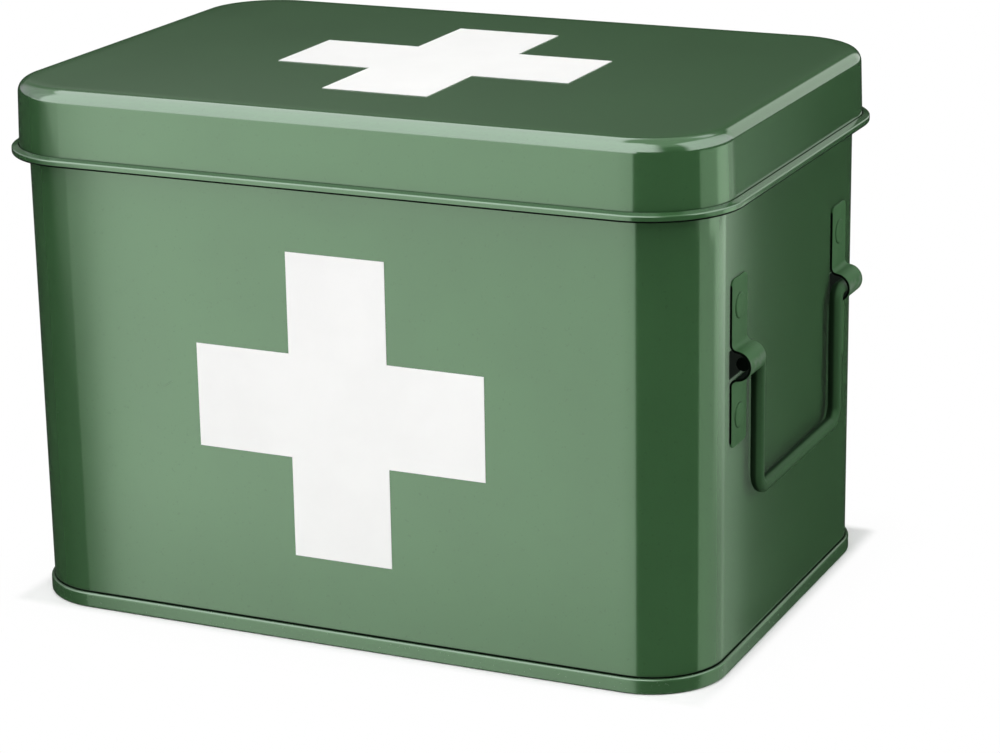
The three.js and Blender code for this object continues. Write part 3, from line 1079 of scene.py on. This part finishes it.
@dataclass
class Tray:
    """The lift-out tray, its divider with a hand slot, and the ledges that carry it."""

    plan: Plan = field(default_factory=Plan)
    sheet: float = 0.6 * MM
    floor_level: float = 154.34 * MM
    wall_out: float = -4.1 * MM
    floor_bend: float = 3 * MM
    bead_centre: Spot = (-3.2 * MM, 196.84 * MM)
    bead_turn: float = -275
    divider_foot: float = 154.94 * MM
    divider_top: float = 195.04 * MM
    divider_reach: float = 135.0 * MM
    divider_corner: float = 5 * MM
    divider_bend: float = 0.8 * MM
    tab: float = 9.7 * MM
    slot_length: float = 84 * MM
    slot_height: float = 20 * MM
    slot_centre: float = 177.04 * MM
    ledge_inset: float = 0.65 * MM
    ledge_top: float = 153.74 * MM
    ledge_width: float = 12 * MM
    ledge_drop: float = 10 * MM
    ledge_length: float = 99.8 * MM
    ledge_sheet: float = 1 * MM
    ledge_bend: float = 1 * MM
    ledge_corner: float = 2.5 * MM

    def pan(self) -> Blank:
        """Builds the tray itself.

        Returns:
            The tray.
        """
        start = (self.wall_out - self.floor_bend, self.floor_level)
        strokes = (
            Arc((start[0], self.floor_level + self.floor_bend), 90, 10),
            Line((self.wall_out, self.bead_centre[1])),
            Arc(self.bead_centre, self.bead_turn, 26),
        )
        blank = Blank.wrap("tray_body", start, strokes, self.plan)
        blank.panel(lambda p: p.z < self.floor_level + NEAR, 3 * MM).done()
        return blank.thicken(self.sheet).smooth()

    def divider(self) -> Blank:
        """Builds the divider: a web with a hand slot and a tab bent at each end.

        Returns:
            The divider.
        """
        bend, foot = self.divider_bend, self.divider_foot
        level = foot + self.divider_corner
        reach = self.divider_reach - self.sheet / 2
        blank = Blank.point("tray_web", (-reach, self.tab, level))
        blank.pull((0, bend - self.tab, 0))
        blank.spin((-reach + bend, bend, level), (0, 0, 1), 90, 5)
        blank.pull((2 * (reach - bend), 0, 0))
        blank.spin((reach - bend, bend, level), (0, 0, 1), 90, 5)
        blank.pull((0, self.tab - bend, 0))
        bpy.ops.mesh.select_all(action="SELECT")
        blank.pull((0, 0, self.divider_top - level)).tidy()
        blank.pick(
            lambda p: p.z < level + NEAR and abs(p.y) < NEAR and abs(p.x) < reach - bend + NEAR
        )
        blank.pull((0, 0, -self.divider_corner)).tidy()
        blank.round_points(lambda p: p.z < foot + NEAR, self.divider_corner * 0.98)
        blank.done().thicken(self.sheet)
        return blank.combine(self.slot_tool(), Join.CUT).soften(0.12 * MM, 2).smooth()

    def slot_tool(self) -> Blank:
        """Builds the tool that cuts the hand slot: a block with its four long edges rounded.

        Returns:
            The tool.
        """
        half, rise, deep = self.slot_length / 2, self.slot_height / 2, 4 * MM
        low = (-half, -deep, self.slot_centre - rise)
        tool = Blank.block("slot_tool", low, (half, deep, self.slot_centre + rise))
        bpy.ops.mesh.select_mode(type="EDGE")
        bpy.ops.mesh.select_all(action="DESELECT")
        shape = bmesh.from_edit_mesh(tool.obj.data)
        for edge in shape.edges:
            run = edge.verts[0].co - edge.verts[1].co
            edge.select = abs(run.y) > abs(run.x) + abs(run.z)
        bmesh.update_edit_mesh(tool.obj.data)
        bpy.ops.mesh.bevel(offset=rise * 0.999, segments=14, affect="EDGES")
        return tool.done()

    def ledge(self) -> Blank:
        """Builds the right ledge, an angle strip on the inside of the side wall.

        Returns:
            The ledge.
        """
        out, flat = self.plan.side - self.ledge_inset, self.ledge_sheet / 2
        half, low = self.ledge_length / 2, self.ledge_top - self.ledge_drop
        top, bend = self.ledge_top - flat, self.ledge_bend
        strokes = (
            Line((-flat, top - bend)),
            Arc((-flat - bend, top - bend), 90, 6),
            Line((-self.ledge_width, top)),
        )
        blank = Blank.trace("ledge", (-flat, low), strokes, out, -half)
        blank.pull((0, self.ledge_length, 0)).tidy()
        blank.round_points(
            lambda p: abs(p.y) > half - NEAR
            and (p.z < low + NEAR or p.x < out - self.ledge_width + NEAR),
            self.ledge_corner,
        ).done()
        return blank.thicken(self.ledge_sheet).soften(0.2 * MM, 2).smooth()

    def build(self) -> None:
        """Builds and dresses the tray, its divider and the two ledges."""
        rim, floor = self.bead_centre[1], self.floor_level
        pan_marks = Marks(
            worn=lambda at: at.z.rise(rim + 0.4 * MM, rim + 1.1 * MM),
            # Painted shade on the floor of the tray and the foot of its wall.
            painted_shade=lambda at: at.z.rise(floor + 2 * MM, floor),
        )
        web_marks = Marks(worn=lambda at: at.z.rise(self.divider_top - MM, self.divider_top))
        ledge_marks = Marks(worn=lambda at: at.z.rise(self.ledge_top - MM, self.ledge_top))
        pan_paint = Enamel("tray_enamel", pan_marks).material()
        fit(self.pan(), "tray", pan_paint, "tray_pan")
        web_paint = Enamel("divider_enamel", web_marks).material()
        fit(self.divider(), "tray", web_paint, "tray_divider")
        ledge_paint = Enamel("ledge_enamel", ledge_marks).material()
        ledge = self.ledge()
        for side, turned in (("right", False), ("left", True)):
            strip = ledge.twin(f"{side}_ledge", (0, 0, 0), turned)
            fit(strip, "case", ledge_paint, f"tray_ledge_{side}")
        bpy.data.objects.remove(ledge.obj)


@dataclass
class Crosses:
    """The two printed crosses, which are kept from the frame."""

    nodes: tuple[str, ...] = ("front_cross", "lid_cross")

    def build(self) -> None:
        """Gives the crosses their print."""
        ink = Print("white_print").material()
        for name in self.nodes:
            dress(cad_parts[name], ink)
            LOG.info("%s: kept from the frame, printed", name)


class Glow(Enum):
    """Colours of the cards' light. The flat top of the lid doesn't mirror the rosy cards."""

    WHITE = (1, 1, 1)
    ROSE = (1, 0.86, 1.05)
    LEAF = (0.95, 1.07, 0.95)
    MOSS = (0.88, 1.12, 0.9)


@dataclass
class Studio:
    """Camera, lamps, floor and surroundings."""

    plan: Plan = field(default_factory=Plan)
    focal_px: float = 3144.5
    image_width: float = 1000
    sensor: float = 36
    camera_at: Point = (510.36 * MM, -1069.37 * MM, 447.39 * MM)
    yaw: float = 0.429
    pitch: float = 0.302
    roll: float = -0.016
    ambient: float = 0.18
    floor_size: float = 12.0
    shadow_reach: float = 7 * MM
    lid_top: float = 205.0 * MM
    rail_at: Spot = (0.379, -0.020)
    rail_run: Spot = (-0.475, 0.88)

    def camera(self) -> None:
        """Makes the camera at the photograph's viewing angle."""
        yaw, pitch, roll = self.yaw, self.pitch, self.roll
        level = math.cos(pitch)
        forward = Vector((-math.sin(yaw) * level, math.cos(yaw) * level, -math.sin(pitch)))
        right = Vector((math.cos(yaw), math.sin(yaw), 0))
        up = right.cross(forward)
        across = right * math.cos(roll) + up * math.sin(roll)
        rise = up * math.cos(roll) - right * math.sin(roll)
        data = bpy.data.cameras.new("camera")
        data.sensor_width = self.sensor
        data.lens = self.focal_px / self.image_width * self.sensor
        data.clip_start = 0.05
        camera = bpy.data.objects.new("camera", data)
        camera.rotation_mode = "QUATERNION"
        camera.location = self.camera_at
        turn = Matrix((across, rise, -forward)).transposed()
        camera.rotation_quaternion = turn.to_quaternion()
        bpy.context.scene.collection.objects.link(camera)
        bpy.context.scene.camera = camera

    def lamp(self, name: str, at: Point, size: float, power: float) -> None:
        """Hangs a soft square lamp that faces the middle of the box.

        Args:
            name: Name of the lamp.
            at: Where it hangs.
            size: Length of its side.
            power: Power in watts.
        """
        data = bpy.data.lights.new(name, "AREA")
        data.shape = "SQUARE"
        data.size = size
        data.energy = power
        lamp = bpy.data.objects.new(name, data)
        lamp.location = at
        lamp.rotation_mode = "QUATERNION"
        aim = Vector((0, 0, 0.1)) - Vector(at)
        lamp.rotation_quaternion = aim.to_track_quat("-Z", "Y")
        lamp.visible_glossy = False
        lamp.visible_camera = False
        bpy.context.scene.collection.objects.link(lamp)

    def surroundings(self) -> None:
        """Builds the world: white to the camera, soft light, and a room for reflections."""
        graph = Graph(bpy.data.worlds.new("studio"))
        at = graph.axes(graph.node("ShaderNodeTexCoord", {}, "Generated"))
        skirting = 0.2 * at.z.rise(0.178, 0.222) * (0.35 + 0.65 * at.x.rise(-0.3, -0.52))
        room = 0.035 + skirting + 0.8 * at.z.rise(0.5, 0.85)
        camera, through, glossy = (
            graph.node("ShaderNodeLightPath", {}, f"Is {kind} Ray")
            for kind in ("Camera", "Transmission", "Glossy")
        )
        seen = camera.at_least(through)
        strength = seen + (1 - seen) * (glossy * room + (1 - glossy) * self.ambient)
        sockets = {"Color": (1, 1, 1, 1), "Strength": strength}
        background = graph.node("ShaderNodeBackground", sockets)
        bpy.context.scene.world = graph.surface(background, "World")

    def left_below_top(self, graph: Graph) -> Wire:
        """Masks the rays that left the box below the flat top of its lid.

        Args:
            graph: Nodes of a card.

        Returns:
            The mask.
        """
        length = graph.node("ShaderNodeLightPath", {}, "Ray Length")
        ended, back = (
            graph.axes(graph.node("ShaderNodeNewGeometry", {}, output)).z
            for output in ("Position", "Incoming")
        )
        return (ended + back * length).rise(self.lid_top - 0.02 * MM, self.lid_top - 0.17 * MM)

    def card(
        self, name: str, start: Point, run: Point, rise: Point, levels: Spot, fades: Point,
        glow: Glow = Glow.WHITE, shade: Point = (0, -1, 0),
    ) -> None:
        """Hangs a card near the box, which only the reflections in the enamel show.

        Args:
            name: Name of the card.
            start: Its first corner.
            run: Its foot, from the first corner.
            rise: Its first side, from the first corner.
            levels: Brightness at its first and at its second side.
            fades: Width over which it fades at its first side, its second side and its top.
            glow: Colour of its light.
            shade: Share that is left low down, and the heights between which it comes back.
        """
        blank = Blank.point(name, start)
        blank.pull(run)
        bpy.ops.mesh.select_all(action="SELECT")
        blank.pull(rise).done()
        graph = Graph(bpy.data.materials.new(f"{name}_glow"))
        place = graph.place()
        along, up = (self.measure(place, start, side) for side in (run, rise))
        length, height = Vector(run).length, Vector(rise).length
        brightest = max(levels)
        share = (levels[0] + along * ((levels[1] - levels[0]) / length)) * (1 / brightest)
        left, low, high = shade
        share = share * (left + (1 - left) * graph.axes(place).z.rise(low, high))
        share = share * along.rise(0, fades[0]) * along.rise(length, length - fades[1])
        share = share * up.rise(height, height - fades[2])
        if glow is Glow.ROSE:
            share = share * self.left_below_top(graph)
        clear = graph.node("ShaderNodeBsdfTransparent", {})
        self.glowing(blank, graph, share, clear, glow, brightest)
        for ray in ("camera", "diffuse", "transmission", "volume_scatter", "shadow"):
            setattr(blank.obj, f"visible_{ray}", False)

    @staticmethod
    def measure(place: Wire, start: Point, side: Point) -> Wire:
        """Measures how far a place is from a card's first corner, along one of its sides.

        Args:
            place: Place on the card.
            start: Its first corner.
            side: The side.

        Returns:
            The distance.
        """
        along = Vector(side).normalized()
        sockets = {0: place, 1: along}
        reach = place.graph.node("ShaderNodeVectorMath", sockets, "Value", operation="DOT_PRODUCT")
        return reach - Vector(start).dot(along)

    @staticmethod
    def glowing(
        blank: Blank, graph: Graph, share: Wire, base: Wire, glow: Glow, strength: float
    ) -> None:
        """Dresses a stage piece in a shader mixed with a glow.

        Args:
            blank: The piece.
            graph: Nodes of its material.
            share: Share of the glow.
            base: Shader under the glow.
            glow: Colour of the glow.
            strength: Strength of the glow.
        """
        sockets = {"Color": (*glow.value, 1), "Strength": strength}
        light = graph.node("ShaderNodeEmission", sockets)
        mixed = graph.node("ShaderNodeMixShader", {0: share, 1: base, 2: light})
        dress(blank.obj, graph.surface(mixed))

    def on_rail(self, ends: Spot, heights: Spot, away: float = 0) -> tuple[Point, Point, Point]:
        """Places a card on the slanting rail to the right of the box.

        Args:
            ends: Its first and second side, as distances along the rail.
            heights: Heights of its foot and of its top.
            away: Distance that it hangs behind the rail.

        Returns:
            Its first corner, its foot and its first side.
        """
        rail = Vector((*self.rail_run, 0))
        first = Vector((*self.rail_at, heights[0])) + away * Vector((rail.y, -rail.x, 0))
        run = rail * (ends[1] - ends[0])
        return tuple(first + rail * ends[0]), tuple(run), (0, 0, heights[1] - heights[0])

    def floor(self) -> None:
        """Lays the pale floor, which is white to the camera and keeps the box's shadow."""
        bpy.ops.object.select_all(action="DESELECT")
        bpy.ops.mesh.primitive_plane_add(size=self.floor_size, location=(0, 0, -0.05 * MM))
        blank = Blank("floor")
        graph = Graph(bpy.data.materials.new("floor_white"))
        at = graph.axes(graph.place())
        aside = (abs(at.x) - self.plan.side).at_least(0.0)
        away = aside.reach((abs(at.y) - self.plan.back).at_least(0.0))
        near, far = away.rise(0.0, self.shadow_reach), away.rise(0.0, 5 * self.shadow_reach)
        seen = graph.node("ShaderNodeLightPath", {}, "Is Camera Ray")
        share = seen * (0.15 + 0.81 * near + 0.04 * far)
        paper = graph.node("ShaderNodeBsdfDiffuse", {"Color": (0.8, 0.8, 0.8, 1)})
        self.glowing(blank, graph, share, paper, Glow.WHITE, 1.0)
        blank.obj.visible_glossy = False

    def cards(self) -> None:
        """Hangs the cards, from the front round the right side to the back."""
        crisp, rail, rose, leaf, moss = 0.002, self.on_rail, Glow.ROSE, Glow.LEAF, Glow.MOSS
        for card in (
            ("front_low", (-0.361, -0.496, -0.5), (0.478, 0, 0), (0, 0, 0.68),
             (2.55, 1.6), (0.010, 0.02, crisp), Glow.WHITE, (0.75, -0.19, -0.09)),
            ("front_left", (-1.3, -0.497, -0.5), (1.0, 0, 0), (0, 0, 0.595),
             (-0.25, 0.75), (crisp, crisp, crisp), Glow.WHITE, (0.15, -0.10, 0.06)),
            ("front_left_lid", (-1.3, -0.497, 0.095), (1.0, 0, 0), (0, 0, 0.085),
             (-0.5, 1.75), (crisp, crisp, crisp)),
            ("front_high", (-3.0, -0.498, 0.18), (3.142, 0, 0), (0, 0, 1.82),
             (4.7, 4.7), (2.3, crisp, crisp), rose),
            ("front_wing", (0.142, -0.498, 0.25), (0.34, 0, 0), (0, 0, 1.2),
             (4.7, 3.6), (crisp, 0.2, 0.2), rose),
            ("overhead_left", (-1.4, -0.5, 2.0), (0, 2.1, 0), (1.0, 0, 0),
             (4.6, 3.2), (crisp, 0.3, 0.15), rose),
            ("overhead_right", (0.9, 1.0, 2.0), (0, 1.0, 0), (-0.75, 0, 0),
             (2.6, 2.4), (0.2, 0.3, 0.15), rose),
            ("side_low", *rail((-0.045, 0.279), (-0.5, 0.105)),
             (0.92, 0.52), (0.01, 0.01, crisp), leaf, (1, -0.2, 0)),
            ("side_stripe", *rail((0.085, 0.282), (0.105, -0.055), -0.001),
             (1.65, 1.55), (0.045, 0.02, 0.16), leaf),
            ("side_edge", *rail((0.22, 0.290), (-0.5, 0.105), 0.001),
             (0.55, 0.55), (crisp, 0.006, crisp), moss, (0.6, 0.06, -0.03)),
            ("side_lid", *rail((-0.098, 0.265), (0.105, 0.17)),
             (0.9, 0.9), (0.01, 0.065, crisp), leaf),
            ("lid_stripe", *rail((0.035, 0.185), (0.105, 0.17), -0.001),
             (1.95, 1.4), (0.03, 0.07, crisp), leaf),
            ("side_glow", *rail((0.24, 0.34), (-0.1, 0.17), 0.002),
             (0.33, 0.33), (crisp, 0.09, crisp), moss, (0.36, 0.09, 0.12)),
            ("side_high", (0.45, -0.24, 0.21), (0.07, 1.04, 0), (0, 0, 0.64),
             (3.9, 1.3), (0.08, 0.05, 0.1), rose),
            ("left_high", (-0.72, -0.45, 0.22), (-0.05, 0.95, 0), (0, 0, 0.9),
             (1.7, 0.5), (0.05, 0.3, 0.3), rose),
            ("back_high", (0.56, 0.60, 0.17), (-0.46, 0.10, 0), (0, 0, 0.43),
             (1.3, 1.3), (0.05, 0.08, 0.05)),
        ):
            self.card(*card)

    def build(self) -> None:
        """Sets up the studio."""
        self.camera()
        self.surroundings()
        self.floor()
        self.cards()
        self.lamp("front_lamp", (0.10, -1.5, 0.95), size=1.1, power=12)
        self.lamp("top_lamp", (0.0, -0.35, 1.5), size=1.2, power=21.5)
        self.lamp("side_lamp", (1.4, 0.5, 0.7), size=0.7, power=11)
        self.lamp("back_lamp", (-1.1, 1.6, 0.55), size=1.0, power=14)
        bpy.context.scene.view_settings.view_transform = "Standard"


def main() -> None:
    """Builds the box and its studio."""
    logging.basicConfig(level=logging.INFO, format="%(name)s: %(message)s")
    for part in (CaseShell(), Lid(), Handles(), Tray(), Crosses(), Studio()):
        LOG.info("building %s", type(part).__name__)
        part.build()


if __name__ == "__main__":
    main()
